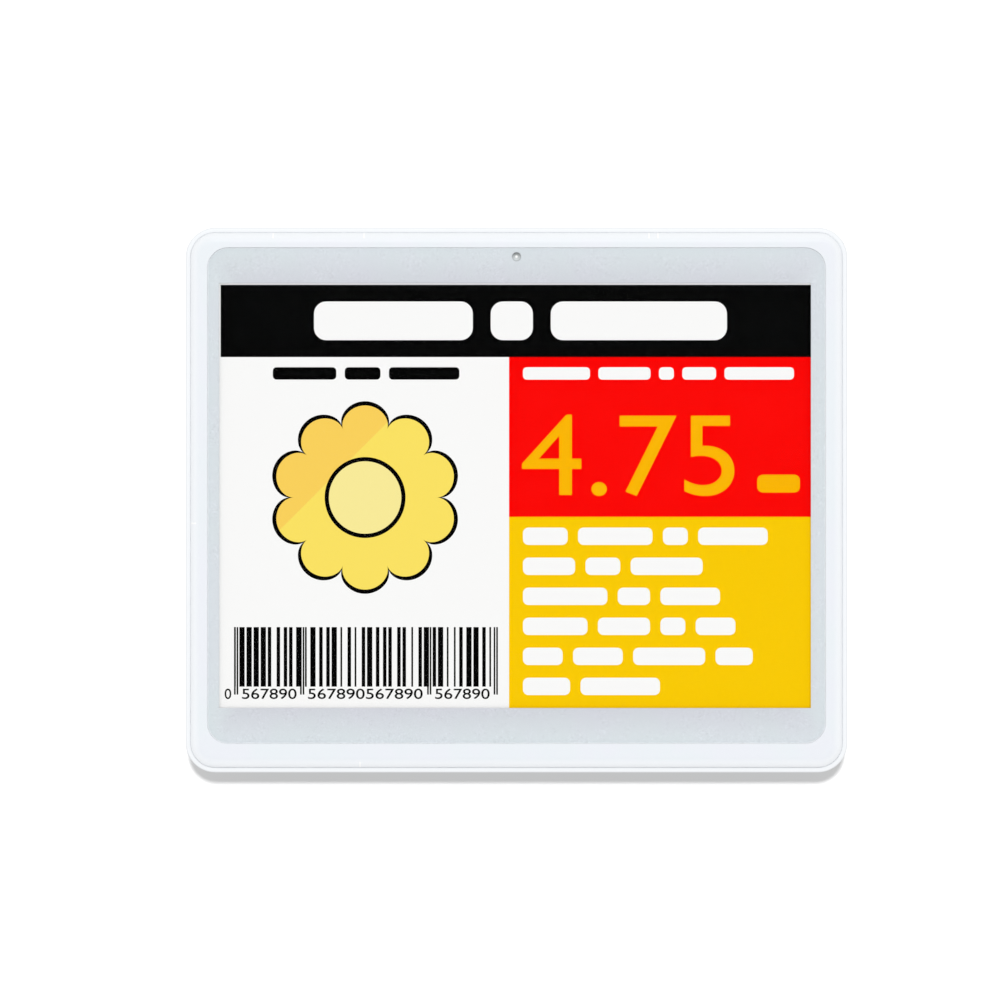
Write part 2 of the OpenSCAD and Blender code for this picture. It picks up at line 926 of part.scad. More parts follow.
// A leaf spring that bridges between two soldered feet and presses on the cell
contact_len = 12;
contact_w = 5;
contact_t = 0.15;
module contact_spring() {
    foot = 2.5;
    top = 1.6;
    rise = contact_h - 0.05;
    translate([0, contact_w / 2, board_z])
        rotate([90, 0, 0])
            linear_extrude(contact_w)
                polygon([
                    [-contact_len / 2, 0], [-contact_len / 2 + foot, 0], [-top, contact_t - rise],
                    [top, contact_t - rise], [contact_len / 2 - foot, 0], [contact_len / 2, 0],
                    [contact_len / 2, -contact_t], [contact_len / 2 - foot - 0.05, -contact_t],
                    [top + 0.05, -rise], [-top - 0.05, -rise],
                    [foot + 0.05 - contact_len / 2, -contact_t], [-contact_len / 2, -contact_t]
                ]);
}

module battery_contacts() {
    color(steel)
        upright()
            for (side = [-1, 1], k = [-1, 1])
                at_cassette(side)
                    translate([k * cell_pitch / 2, 0, 0])
                        contact_spring();
}

// One coin cell, its negative cap to the front
module coin_cell() {
    edge = 0.5;
    cap_step = 0.25;
    cap_r = 0.87 * cell_d / 2;
    can_t = cell_t - cap_step;
    rotate_extrude()
        difference() {
            union() {
                square([cell_d / 2 - edge, can_t]);
                translate([0, edge])
                    square([cell_d / 2, can_t - 2 * edge]);
                for (y = [edge, can_t - edge])
                    translate([cell_d / 2 - edge, y])
                        circle(edge);
                square([cap_r, cell_t]);
            }
            translate([cap_r, can_t - 0.3])
                square([0.35, 1]);
        }
}

// The two cells of a cassette lie opposite ways up, so the link strip joins them in series
module cell_pair(side) {
    at_cassette(side)
        for (k = [-1, 1])
            translate([k * cell_pitch / 2, 0, cell_z + (k > 0 ? cell_t : 0)])
                rotate([k > 0 ? 180 : 0, 0, 0])
                    coin_cell();
}

module link_strip(side) {
    pad_d = 9;
    bar_w = 5;
    at_cassette(side)
        translate([0, 0, cover_top_z])
            linear_extrude(link_t) {
                square([cell_pitch, bar_w], center = true);
                for (k = [-1, 1])
                    translate([k * cell_pitch / 2, 0])
                        circle(d = pad_d);
            }
}

// A post of the cradle with a lip over the cell's edge
hook_w = 4;
hook_lip = 0.35;
module cell_hook() {
    lip_z = cell_z + cell_t + 0.05;
    hook_x = cell_d / 2 + cell_clear;
    translate([hook_x, -hook_w / 2, cover_top_z])
        cube([cradle_wall, hook_w, lip_z + 0.35 - cover_top_z]);
    translate([hook_x - cell_clear - hook_lip, -hook_w / 2, lip_z])
        cube([cell_clear + hook_lip + 0.1, hook_w, 0.35]);
}

// A cassette: the cover, the cradle with two round pockets, hooks, snap tongues and grip grooves
tongue_w = 9;
tongue_slit = 0.6;
tongue_depth = 5;
grip_len = 14;
grip_w = 0.85;
grip_inset = 2.6;
module cassette(side) {
    at_cassette(side)
        difference() {
            union() {
                soft_plate(cover_w, cover_h, cover_r, cover_recess, cover_top_z, cover_edge_r, 0);
                difference() {
                    plate(cradle_w, cradle_h, cradle_r, cover_recess + 0.5, cradle_top_z);
                    for (k = [-1, 1])
                        translate([k * cell_pitch / 2, 0, 0])
                            rod(cell_d + 2 * cell_clear, cover_top_z, body_d);
                    block(cell_pitch, cradle_h / 2, cover_top_z, body_d);
                }
                for (turn = [0, 180])
                    rotate([0, 0, turn])
                        translate([cell_pitch / 2, 0, 0])
                            cell_hook();
                for (turn = [0, 180])
                    rotate([0, 0, turn])
                        translate([0, cradle_h / 2, 0.6 * cradle_top_z])
                            snap_bead();
            }
            for (sx = [-1, 1], sy = [-1, 1])
                translate([sx * tongue_w / 2, sy * (cradle_h / 2 - tongue_depth / 2 + 0.1), 0])
                    block(tongue_slit, tongue_depth, cover_top_z + 0.6, body_d);
            for (sy = [-1, 1], k = [0 : 2])
                translate([0, sy * (cover_h / 2 - grip_inset - 2 * grip_w * k), 0])
                    long_slot(grip_len, grip_w, -1, cover_recess + 0.4 * cover_t);
        }
}

// The bead of a snap tongue, lower than the bay's clearance
bead_h = 0.15;
module snap_bead() {
    rotate([0, 90, 0])
        translate([0, 0, -tongue_w / 2 + tongue_slit])
            linear_extrude(tongue_w - 2 * tongue_slit)
                polygon([[-0.8, 0], [0, bead_h], [0.8, 0], [0, -0.3]]);
}

module cassette_left() {
    color(shell_white)
        upright()
            cassette(-1);
}

module cassette_right() {
    color(shell_white)
        upright()
            cassette(1);
}

module cells_left() {
    color(steel)
        upright()
            cell_pair(-1);
}

module cells_right() {
    color(steel)
        upright()
            cell_pair(1);
}

module link_strip_left() {
    color(steel)
        upright()
            link_strip(-1);
}

module link_strip_right() {
    color(steel)
        upright()
            link_strip(1);
}

rear_housing();
front_frame();
window_lens();
mask_print();
lens_tape();
display_gasket();
display_film();
display_glass();
driver_chip();
display_flex();
display_tape();
display_carrier();
circuit_board();
board_screws();
radio_chip();
memory_chip();
boost_coil();
crystals();
capacitors();
flex_connector();
board_antenna();
indicator_led();
light_pipe();
battery_contacts();
cassette_left();
cells_left();
link_strip_left();
cassette_right();
cells_right();
link_strip_right();
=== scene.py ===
import math

import bmesh
import bpy
from mathutils import Matrix, Vector


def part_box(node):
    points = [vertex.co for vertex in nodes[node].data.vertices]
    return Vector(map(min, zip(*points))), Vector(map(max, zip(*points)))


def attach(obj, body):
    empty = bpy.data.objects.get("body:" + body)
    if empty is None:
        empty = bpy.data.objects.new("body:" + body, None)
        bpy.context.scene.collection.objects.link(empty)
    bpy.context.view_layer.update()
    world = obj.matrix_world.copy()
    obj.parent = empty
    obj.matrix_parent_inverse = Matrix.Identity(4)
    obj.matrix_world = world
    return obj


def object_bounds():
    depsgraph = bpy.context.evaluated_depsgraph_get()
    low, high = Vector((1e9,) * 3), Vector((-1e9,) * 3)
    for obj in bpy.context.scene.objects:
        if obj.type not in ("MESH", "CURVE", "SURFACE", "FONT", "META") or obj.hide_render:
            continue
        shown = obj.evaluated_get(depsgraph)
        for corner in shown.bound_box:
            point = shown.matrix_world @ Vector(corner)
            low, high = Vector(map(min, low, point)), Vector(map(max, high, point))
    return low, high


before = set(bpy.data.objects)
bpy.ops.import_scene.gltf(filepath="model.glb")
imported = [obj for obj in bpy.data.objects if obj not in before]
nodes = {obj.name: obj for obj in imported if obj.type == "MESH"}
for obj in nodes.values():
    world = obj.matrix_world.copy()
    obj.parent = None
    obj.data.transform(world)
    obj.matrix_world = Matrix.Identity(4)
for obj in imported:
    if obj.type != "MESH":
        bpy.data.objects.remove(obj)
cad_low, cad_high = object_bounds()

MM = 0.001


# Node helpers


def link(tree, socket, value):
    """Joins a socket to another node's output, or sets it to a plain value."""
    if isinstance(value, bpy.types.NodeSocket):
        tree.links.new(value, socket)
    else:
        socket.default_value = value


def calc(tree, operation, first, second=0.0, third=0.0):
    """A math node on up to three values."""
    node = tree.nodes.new("ShaderNodeMath")
    node.operation = operation
    link(tree, node.inputs[0], first)
    link(tree, node.inputs[1], second)
    link(tree, node.inputs[2], third)
    return node.outputs[0]


def paint(tree, below, colour, mask):
    """Lays a colour over the one below it wherever the mask is 1."""
    node = tree.nodes.new("ShaderNodeMix")
    node.data_type = "RGBA"
    link(tree, node.inputs["Factor"], mask)
    link(tree, node.inputs["A"], below if isinstance(below, bpy.types.NodeSocket) else (*below, 1))
    link(tree, node.inputs["B"], colour if isinstance(colour, bpy.types.NodeSocket) else (*colour, 1))
    return node.outputs["Result"]


def scaled(tree, colour, factor):
    """A colour made lighter or darker by a factor."""
    node = tree.nodes.new("ShaderNodeVectorMath")
    node.operation = "SCALE"
    link(tree, node.inputs[0], colour)
    link(tree, node.inputs["Scale"], factor)
    return node.outputs[0]


def place_on_piece(tree):
    """The place on the piece in metres."""
    return tree.nodes.new("ShaderNodeTexCoord").outputs["Object"]


def across_and_up(tree):
    """The place on the piece seen from the front: its x and its z in metres."""
    parts = tree.nodes.new("ShaderNodeSeparateXYZ")
    tree.links.new(place_on_piece(tree), parts.inputs[0])
    return parts.outputs["X"], parts.outputs["Z"]


def in_mm(tree, value, start=0.0):
    """A length in metres, counted in millimetres from a start."""
    return calc(tree, "MULTIPLY", calc(tree, "SUBTRACT", value, start), 1 / MM)


def noise(tree, scale, detail=2.0, stretch=(1, 1, 1)):
    """Fine noise from 0 to 1, its scale in grains per metre."""
    turned = tree.nodes.new("ShaderNodeMapping")
    turned.inputs["Scale"].default_value = stretch
    tree.links.new(place_on_piece(tree), turned.inputs["Vector"])
    node = tree.nodes.new("ShaderNodeTexNoise")
    tree.links.new(turned.outputs["Vector"], node.inputs["Vector"])
    node.inputs["Scale"].default_value = scale
    node.inputs["Detail"].default_value = detail
    return node.outputs["Fac"]


def toss(tree, first, second):
    """A random value from 0 to 1 for each pair of whole numbers."""
    pair = tree.nodes.new("ShaderNodeCombineXYZ")
    link(tree, pair.inputs[0], first)
    link(tree, pair.inputs[1], second)
    node = tree.nodes.new("ShaderNodeTexWhiteNoise")
    tree.links.new(pair.outputs[0], node.inputs["Vector"])
    return node.outputs["Value"]


def spread(tree, value, low, high):
    """Stretches a value from 0 to 1 over another range."""
    node = tree.nodes.new("ShaderNodeMapRange")
    link(tree, node.inputs["Value"], value)
    node.inputs["To Min"].default_value = low
    node.inputs["To Max"].default_value = high
    return node.outputs["Result"]


def ramp(tree, value, start, stop):
    """Rises smoothly from 0 to 1 while a value goes from start to stop."""
    node = tree.nodes.new("ShaderNodeMapRange")
    node.interpolation_type = "SMOOTHSTEP"
    node.inputs["From Min"].default_value = start
    node.inputs["From Max"].default_value = stop
    link(tree, node.inputs["Value"], value)
    return node.outputs["Result"]


def roughen(tree, shader, height, strength, depth):
    """Gives a shader a bumpy surface, its depth in metres."""
    node = tree.nodes.new("ShaderNodeBump")
    node.inputs["Strength"].default_value = strength
    node.inputs["Distance"].default_value = depth
    link(tree, node.inputs["Height"], height)
    tree.links.new(node.outputs["Normal"], shader.inputs["Normal"])


def inside(tree, value, low, high):
    """1 where a value lies between two others."""
    return calc(tree, "COMPARE", value, (low + high) / 2, abs(high - low) / 2)


def panel(tree, u, v, left, right, low, high):
    """1 inside a rectangle."""
    return calc(tree, "MULTIPLY", inside(tree, u, left, right), inside(tree, v, low, high))


def either(tree, masks):
    """1 where any of the masks is 1."""
    total = masks[0]
    for mask in masks[1:]:
        total = calc(tree, "MAXIMUM", total, mask)
    return total


def distance(tree, across, up):
    """The length of the straight line that goes so far across and so far up."""
    return calc(tree, "SQRT", calc(tree, "MULTIPLY_ADD", across, across, calc(tree, "MULTIPLY", up, up)))


def past(tree, value, middle, half):
    """How far a value lies past either end of a stretch, given by its middle and half its length."""
    away = calc(tree, "ABSOLUTE", calc(tree, "SUBTRACT", value, middle))
    return calc(tree, "SUBTRACT", away, half)


def beyond(tree, box, radius):
    """How far a place lies outside a box's rounded outline seen from the front; negative inside it."""
    low, high = box
    middle, half = (low + high) / 2, (high - low) / 2
    x, z = across_and_up(tree)
    across = past(tree, x, middle.x, half.x - radius)
    up = past(tree, z, middle.z, half.z - radius)
    inner = calc(tree, "MINIMUM", calc(tree, "MAXIMUM", across, up), 0)
    outer = distance(tree, calc(tree, "MAXIMUM", across, 0), calc(tree, "MAXIMUM", up, 0))
    return calc(tree, "SUBTRACT", calc(tree, "ADD", outer, inner), radius)


def finish_of(name, roughness, metallic=0.0, specular=0.5, ior=1.5):
    """An empty material with one shader: returns the material, its tree and the shader."""
    material = bpy.data.materials.new(name)
    material.use_nodes = True
    tree = material.node_tree
    shader = tree.nodes["Principled BSDF"]
    shader.inputs["Roughness"].default_value = roughness
    shader.inputs["Metallic"].default_value = metallic
    shader.inputs["Specular IOR Level"].default_value = specular
    shader.inputs["IOR"].default_value = ior
    return material, tree, shader


def coat(tree, shader, colour):
    """Gives a shader its colour."""
    tree.links.new(colour, shader.inputs["Base Color"])


def mottled(tree, colour, amount, scale, detail=2.0, stretch=(1, 1, 1)):
    """A colour with a slight variation in lightness."""
    return scaled(tree, colour, spread(tree, noise(tree, scale, detail, stretch), 1 - amount, 1 + amount))


# Materials of the outside

SHELL_R = 6 * MM
FRAME_R = 5 * MM
WINDOW_R = 4.2 * MM
GRAIN = 5200
GRAIN_DEPTH = 0.02 * MM


def shell_plastic():
    """The white shell, with painted shade that makes its sides a little greyer than its rim and its back."""
    material, tree, shader = finish_of("shell_plastic", roughness=0.42)
    white = mottled(tree, (0.87, 0.89, 0.91), 0.012, 350)
    # Painted shade: a greyer colour on the sides, near the outline seen from the front.
    shaded_flank = ramp(tree, beyond(tree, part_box("rear_housing"), SHELL_R), -0.25 * MM, -0.02 * MM)
    coat(tree, shader, paint(tree, white, (0.72, 0.74, 0.76), shaded_flank))
    roughen(tree, shader, noise(tree, GRAIN, 3), 0.2, GRAIN_DEPTH)
    return material


def painted_lug_glints(tree, high):
    """1 at the short painted highlights that stand for the snap lugs seen through the frame's edge.

    Five stand on the upper and lower edges, and one lies on the left edge.
    """
    x, z = across_and_up(tree)
    inset, half, reach = 1.1 * MM, 0.17 * MM, 0.55 * MM
    top, bottom, left = high.z - inset, inset - high.z, inset - high.x
    upright = [(place * MM, top) for place in (-49.0, -30.7, 26.7, 28.5)]
    upright.append((-31.5 * MM, bottom))
    ticks = [panel(tree, x, z, place - half, place + half, level - reach, level + reach)
             for place, level in upright]
    level = -4.7 * MM
    ticks.append(panel(tree, x, z, left - reach, left + reach, level - half, level + half))
    return either(tree, ticks)


def frame_plastic():
    """The milky frame, with painted light that makes its rounded edge paler than its flat ring."""
    material, tree, shader = finish_of("frame_plastic", roughness=0.42)
    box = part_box("front_frame")
    # Painted light: the rounded edge gets a paler colour than the flat ring, for the light it catches.
    edge = ramp(tree, beyond(tree, box, FRAME_R), -2.6 * MM, -1.2 * MM)
    cloud = ramp(tree, noise(tree, 120), 0.35, 0.65)
    ring = paint(tree, (0.785, 0.828, 0.862), (0.798, 0.82, 0.87), cloud)
    colour = paint(tree, ring, (0.875, 0.9, 0.93), edge)
    # Painted highlights: pale ticks where the snap lugs lie behind the frame's edge.
    coat(tree, shader, paint(tree, colour, (0.97, 0.975, 0.98), painted_lug_glints(tree, box[1])))
    shader.inputs["Subsurface Weight"].default_value = 0.12
    shader.inputs["Subsurface Radius"].default_value = (1.0, 1.0, 1.0)
    shader.inputs["Subsurface Scale"].default_value = 1.2 * MM
    roughen(tree, shader, noise(tree, 1400), 0.05, 0.03 * MM)
    return material


def lens_plastic():
    """The clear window: nearly nothing but a faint sheen."""
    material, tree, shader = finish_of("lens_plastic", roughness=0.1, ior=1.49)
    coat(tree, shader, mottled(tree, (0.01, 0.011, 0.012), 0.1, 400))
    shader.inputs["Alpha"].default_value = 0.025
    return material


def mask_ink():
    """The light grey border print, fading darker inwards from the window's edge, with painted light in a
    thin band along that edge, and faint clouds and specks.
    """
    material, tree, shader = finish_of("mask_ink", roughness=0.6, specular=0.2)
    outward = beyond(tree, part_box("window_lens"), WINDOW_R)
    fade = 7 * MM
    inward = calc(tree, "MINIMUM", calc(tree, "DIVIDE", outward, -fade), 1)
    green = paint(tree, (0.737, 0.804, 0.831), (0.661, 0.689, 0.735), inward)
    violet = paint(tree, (0.743, 0.797, 0.836), (0.667, 0.682, 0.741), inward)
    tone = paint(tree, green, violet, ramp(tree, noise(tree, 130), 0.35, 0.65))
    # Painted light: a thin pale band along the window's edge, against the shade the frame and lens cast
    # there.
    tone = paint(tree, tone, (0.94, 0.96, 0.98), ramp(tree, outward, -0.4 * MM, 0.1 * MM))
    fine = noise(tree, 2800)
    specks = calc(tree, "SUBTRACT", ramp(tree, fine, 0.56, 0.7), ramp(tree, fine, 0.44, 0.3))
    patches = ramp(tree, noise(tree, 260), 0.42, 0.6)
    strength = calc(tree, "MULTIPLY", specks, spread(tree, patches, 0.02, 0.085))
    coat(tree, shader, scaled(tree, tone, calc(tree, "ADD", strength, 1.0)))
    roughen(tree, shader, noise(tree, 3000), 0.1, 0.01 * MM)
    return material


# The display's picture, in millimetres from its middle

IMAGE_W = 118.8
IMAGE_H = 85.2
IMAGE_RIGHT = IMAGE_W / 2
IMAGE_TOP = IMAGE_H / 2
BAND_LOW = IMAGE_TOP - 14.7
PRICE_LOW = BAND_LOW - 32.2
SPLIT = 58.2 - IMAGE_RIGHT
MARGIN = 2.8
film_low, film_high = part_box("display_film")
IMAGE_MIDDLE = (film_low + film_high) / 2

BLACK = (0.001, 0.001, 0.001)
WHITE = (0.99, 0.99, 0.982)
RED = (1.0, 0.001, 0.0008)
YELLOW = (1.0, 0.615, 0.0008)
AMBER = (1.0, 0.48, 0.0008)

# Blank bars for words: left end, middle height, bar height, the bars' widths, the gap between them, colour
CAPTIONS = [
    (-40.5, IMAGE_TOP - 7.4, 7.8, (32.0, 8.5, 35.5), 3.6, WHITE),
    (-48.8, BAND_LOW - 3.3, 2.5, (12.8, 7.2, 14.2), 1.7, BLACK),
    (SPLIT + MARGIN, BAND_LOW - 3.3, 2.5, (13.5, 10.5, 3.0, 6.8, 14.0), 1.7, WHITE),
    (IMAGE_RIGHT - 10.6, PRICE_LOW + 6.7, 3.6, (8.6,), 0.0, AMBER),
]

# Blank bars for the text below: the widths in each row
TEXT_TOP = PRICE_LOW - 3.9
TEXT_PITCH = 6.05
TEXT_H = 3.5
TEXT_GAP = 2.1
TEXT_ROWS = [
    (9.0, 15.0, 5.0, 14.0),
    (10.5, 7.0, 14.5),
    (17.0, 6.5, 12.0),
    (13.0, 10.5, 5.0, 8.0),
    (8.0, 10.0, 14.5, 7.5),
    (9.5, 16.0),
]


def word_bars(tree, u, v, left, middle, height, widths, gap):
    """1 inside a row of blank bars with softly rounded corners, one for each width."""
    radius = 0.32 * height
    beside = None
    for width in widths:
        away = past(tree, u, left + width / 2, width / 2 - radius)
        beside = away if beside is None else calc(tree, "MINIMUM", beside, away)
        left += width + gap
    above = past(tree, v, middle, height / 2 - radius)
    reach = distance(tree, calc(tree, "MAXIMUM", beside, 0), calc(tree, "MAXIMUM", above, 0))
    return calc(tree, "LESS_THAN", reach, radius)


def blossom(tree, u, v, below):
    """Paints a round blossom with black outlines and a pale core over the colour below it."""
    middle_u, middle_v, petals = -30.2, -0.4, 10
    inner, outer, line = 15.2, 19.4, 0.85
    core = 0.42 * outer
    across = calc(tree, "SUBTRACT", u, middle_u)
    up = calc(tree, "SUBTRACT", v, middle_v)
    reach = distance(tree, across, up)
    around = calc(tree, "MULTIPLY", calc(tree, "ARCTAN2", up, across), petals / 2)
    lobe = calc(tree, "SQRT", calc(tree, "ABSOLUTE", calc(tree, "SINE", around)))
    rim = calc(tree, "MULTIPLY_ADD", lobe, outer - inner, inner)
    shaded = calc(tree, "GREATER_THAN", calc(tree, "SUBTRACT", up, across), 0.55 * outer)
    petal = paint(tree, (1.0, 0.79, 0.13), (0.99, 0.66, 0.11), shaded)
    colour = paint(tree, below, BLACK, calc(tree, "LESS_THAN", reach, rim))
    colour = paint(tree, colour, petal, calc(tree, "LESS_THAN", reach, calc(tree, "SUBTRACT", rim, line)))
    colour = paint(tree, colour, BLACK, calc(tree, "LESS_THAN", reach, core))
    return paint(tree, colour, (0.98, 0.86, 0.33), calc(tree, "LESS_THAN", reach, core - line))


def bar_code(tree, u, v):
    """Plain upright bars, with four pairs of longer thin ones between them.

    Of every four columns one is black, one white and two are drawn from noise.
    """
    left, right = MARGIN - IMAGE_RIGHT, SPLIT - 2.3
    low, high = 4.1 - IMAGE_TOP, 16.1 - IMAGE_TOP
    columns_per_mm, white_share = 2.8, 0.36
    column = calc(tree, "FLOOR", calc(tree, "MULTIPLY", calc(tree, "SUBTRACT", u, left), columns_per_mm))
    draws = tree.nodes.new("ShaderNodeTexWhiteNoise")
    draws.noise_dimensions = "1D"
    tree.links.new(column, draws.inputs["W"])
    drawn = calc(tree, "GREATER_THAN", draws.outputs["Value"], white_share)
    turn = calc(tree, "FLOORED_MODULO", column, 4)
    free = calc(tree, "COMPARE", calc(tree, "FLOORED_MODULO", turn, 2), 1, 0.1)
    bars = calc(tree, "MAXIMUM", calc(tree, "MULTIPLY", free, drawn), calc(tree, "COMPARE", turn, 0, 0.1))
    body = calc(tree, "MULTIPLY", bars, panel(tree, u, v, left, right, low, high))
    width, pitch, drop = 0.33, 0.52, 1.6
    pairs = (left, left + 13.3, right - 14.2, right - 0.8)
    guards = [panel(tree, u, v, place + step, place + step + width, low - drop, high)
              for place in pairs for step in (0.0, pitch)]
    return either(tree, [body, *guards])


def display_ink():
    """The paper display's picture: plain panels, blank bars for words, a blossom and a bar pattern."""
    material, tree, shader = finish_of("display_ink", roughness=0.55, specular=0.0)
    x, z = across_and_up(tree)
    u, v = in_mm(tree, x, IMAGE_MIDDLE.x), in_mm(tree, z, IMAGE_MIDDLE.z)
    over, hairline = 1.0, 0.15
    right, bottom = IMAGE_RIGHT + over, -IMAGE_TOP - over
    band_left, band_top = 0.1 - IMAGE_RIGHT, IMAGE_TOP - hairline

    colour = paint(tree, WHITE, YELLOW, panel(tree, u, v, SPLIT, right, bottom, PRICE_LOW))
    colour = paint(tree, colour, RED, panel(tree, u, v, SPLIT, right, PRICE_LOW, BAND_LOW))
    colour = paint(tree, colour, BLACK, panel(tree, u, v, band_left, right, BAND_LOW, band_top))
    for left, middle, height, widths, gap, tint in CAPTIONS:
        bars = word_bars(tree, u, v, left, middle, height, widths, gap)
        colour = paint(tree, colour, tint, bars)
    for row, widths in enumerate(TEXT_ROWS):
        middle = TEXT_TOP - TEXT_PITCH * row
        bars = word_bars(tree, u, v, SPLIT + MARGIN, middle, TEXT_H, widths, TEXT_GAP)
        colour = paint(tree, colour, WHITE, bars)
    colour = blossom(tree, u, v, colour)
    colour = paint(tree, colour, BLACK, bar_code(tree, u, v))

    coat(tree, shader, scaled(tree, colour, spread(tree, noise(tree, GRAIN), 0.985, 1.0)))
    roughen(tree, shader, noise(tree, GRAIN), 0.05, 0.005 * MM)
    return material


# Digits: plain numbers in the built-in typeface, made a thin mesh on the film's face

INK_T = 0.02 * MM
INK_GAP = 0.001 * MM


def digit_ink(name, colour):
    """The plain ink of one line of digits."""
    material, tree, shader = finish_of(name, roughness=0.55, specular=0.0)
    coat(tree, shader, mottled(tree, colour, 0.01, GRAIN))
    return material


def add_digits(name, digits, height, left, base, colour, weight=0.0, wide=None):
    """Digits on the picture: their height, lower left corner and whole width in millimetres."""
    curve = bpy.data.curves.new(name, "FONT")
    curve.body = digits
    curve.offset = weight
    curve.extrude = 0.002
    holder = bpy.data.objects.new(name + "_line", curve)
    bpy.context.scene.collection.objects.link(holder)
    bpy.context.view_layer.update()
    mesh = bpy.data.meshes.new_from_object(holder.evaluated_get(bpy.context.evaluated_depsgraph_get()))
    bpy.data.objects.remove(holder)
    mesh.name = name
    across = [point.co.x for point in mesh.vertices]
    up = [point.co.y for point in mesh.vertices]
    size = height * MM / (max(up) - min(up))
    wide_size = wide * MM / (max(across) - min(across)) if wide else size
    face = film_low.y - INK_GAP - INK_T / 2
    corner = Vector((IMAGE_MIDDLE.x + left * MM, face, IMAGE_MIDDLE.z + base * MM))
    mesh.transform(
        Matrix.Translation(corner)
        @ Matrix.Rotation(math.radians(90), 4, "X")
        @ Matrix.Diagonal((wide_size, size, INK_T / (2 * curve.extrude), 1))
        @ Matrix.Translation((-min(across), -min(up), 0)))
    mesh.materials.clear()
    mesh.materials.append(digit_ink(name + "_ink", colour))
    piece = bpy.data.objects.new(name, mesh)
    bpy.context.scene.collection.objects.link(piece)
    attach(piece, "label")


CODE_H = 2.1
CODE_BASE = -41.0
CODE_WEIGHT = 0.006
CODE_DIGITS = [
    ("first", "0", -58.5, None),
    ("left", "567890", -55.0, 11.0),
    ("middle", "567890567890", -41.7, 23.1),
    ("right", "567890", -16.1, 11.0),
]
add_digits("price_digits", "4.75", 16.4, 1.4, -0.1, AMBER, wide=42.8)
for part, digits, left, wide in CODE_DIGITS:
    add_digits("code_digits_" + part, digits, CODE_H, left, CODE_BASE, BLACK, CODE_WEIGHT, wide)


# Materials of the inside


def moulded(name, colour, roughness, amount=0.02, grain=GRAIN, depth=GRAIN_DEPTH, strength=0.25):
    """Moulded plastic or foam with a fine grain."""
    material, tree, shader = finish_of(name, roughness)
    coat(tree, shader, mottled(tree, colour, amount, 900))
    roughen(tree, shader, noise(tree, grain, 3), strength, depth)
    return material


def plated_metal():
    """Bright plated metal with fine drawn lines."""
    material, tree, shader = finish_of("bright_metal", roughness=0.28, metallic=1.0)
    stretch = (1, 1, 6)
    coat(tree, shader, mottled(tree, (0.66, 0.655, 0.63), 0.05, 1500, 3, stretch))
    lines = noise(tree, 4000, 2, stretch)
    link(tree, shader.inputs["Roughness"], spread(tree, lines, 0.2, 0.38))
    roughen(tree, shader, lines, 0.15, 0.01 * MM)
    return material


def cell_steel():
    """Nickel-plated steel with fine scratches."""
    material, tree, shader = finish_of("cell_steel", roughness=0.3, metallic=1.0)
    coat(tree, shader, mottled(tree, (0.68, 0.675, 0.655), 0.04, 2200, 3))
    scratches = noise(tree, GRAIN, 3, (1, 1, 8))
    link(tree, shader.inputs["Roughness"], spread(tree, scratches, 0.22, 0.42))
    roughen(tree, shader, scratches, 0.12, 0.01 * MM)
    return material


def traces(tree, along, across, pitch, length):
    """Parallel copper paths: thin lines, each broken into random stretches."""
    half_width, shift, bare = 0.17, 0.37, 0.55
    lane = calc(tree, "DIVIDE", across, pitch)
    row = calc(tree, "FLOOR", lane)
    line = calc(tree, "COMPARE", calc(tree, "FRACT", lane), 0.5, half_width)
    stretch = calc(tree, "MULTIPLY_ADD", row, shift, calc(tree, "DIVIDE", along, length))
    drawn = toss(tree, row, calc(tree, "FLOOR", stretch))
    return calc(tree, "MULTIPLY", line, calc(tree, "GREATER_THAN", drawn, bare))


def plated_holes(tree, across, up):
    """Small round holes on a square grid, most of its places left empty."""
    pitch, radius, empty = 2.3, 0.141, 0.62
    column, row = calc(tree, "DIVIDE", across, pitch), calc(tree, "DIVIDE", up, pitch)
    beside = calc(tree, "SUBTRACT", calc(tree, "FRACT", column), 0.5)
    above = calc(tree, "SUBTRACT", calc(tree, "FRACT", row), 0.5)
    holes = calc(tree, "LESS_THAN", distance(tree, beside, above), radius)
    drawn = toss(tree, calc(tree, "FLOOR", column), calc(tree, "FLOOR", row))
    return calc(tree, "MULTIPLY", holes, calc(tree, "GREATER_THAN", drawn, empty))


def board_laminate():
    """Green solder mask over copper paths, with small plated holes."""
    material, tree, shader = finish_of("board_laminate", roughness=0.32)
    x, z = across_and_up(tree)
    across, up = in_mm(tree, x), in_mm(tree, z)
    paths = either(tree, [traces(tree, across, up, 0.62, 7.3), traces(tree, up, across, 0.71, 4.6)])
    colour = paint(tree, (0.008, 0.085, 0.035), (0.022, 0.16, 0.07), paths)
    coat(tree, shader, paint(tree, colour, (0.5, 0.46, 0.33), plated_holes(tree, across, up)))
    roughen(tree, shader, paths, 0.3, 0.03 * MM)
    return material


def tail_film():
    """Amber film with fine conductors along it."""
    material, tree, shader = finish_of("tail_film", roughness=0.3)
    wires_per_mm = 2
    x, _ = across_and_up(tree)
    wave = calc(tree, "FRACT", calc(tree, "MULTIPLY", x, wires_per_mm / MM))
    wires = calc(tree, "GREATER_THAN", wave, 0.5)
    coat(tree, shader, paint(tree, (0.5, 0.2, 0.02), (0.62, 0.3, 0.06), wires))
    roughen(tree, shader, wires, 0.2, 0.01 * MM)
    return material


def panel_back():
    """The display's glass, grey through its thin film of circuits."""
    material, tree, shader = finish_of("panel_back", roughness=0.12)
    coat(tree, shader, mottled(tree, (0.19, 0.21, 0.205), 0.04, 1200))
    return material


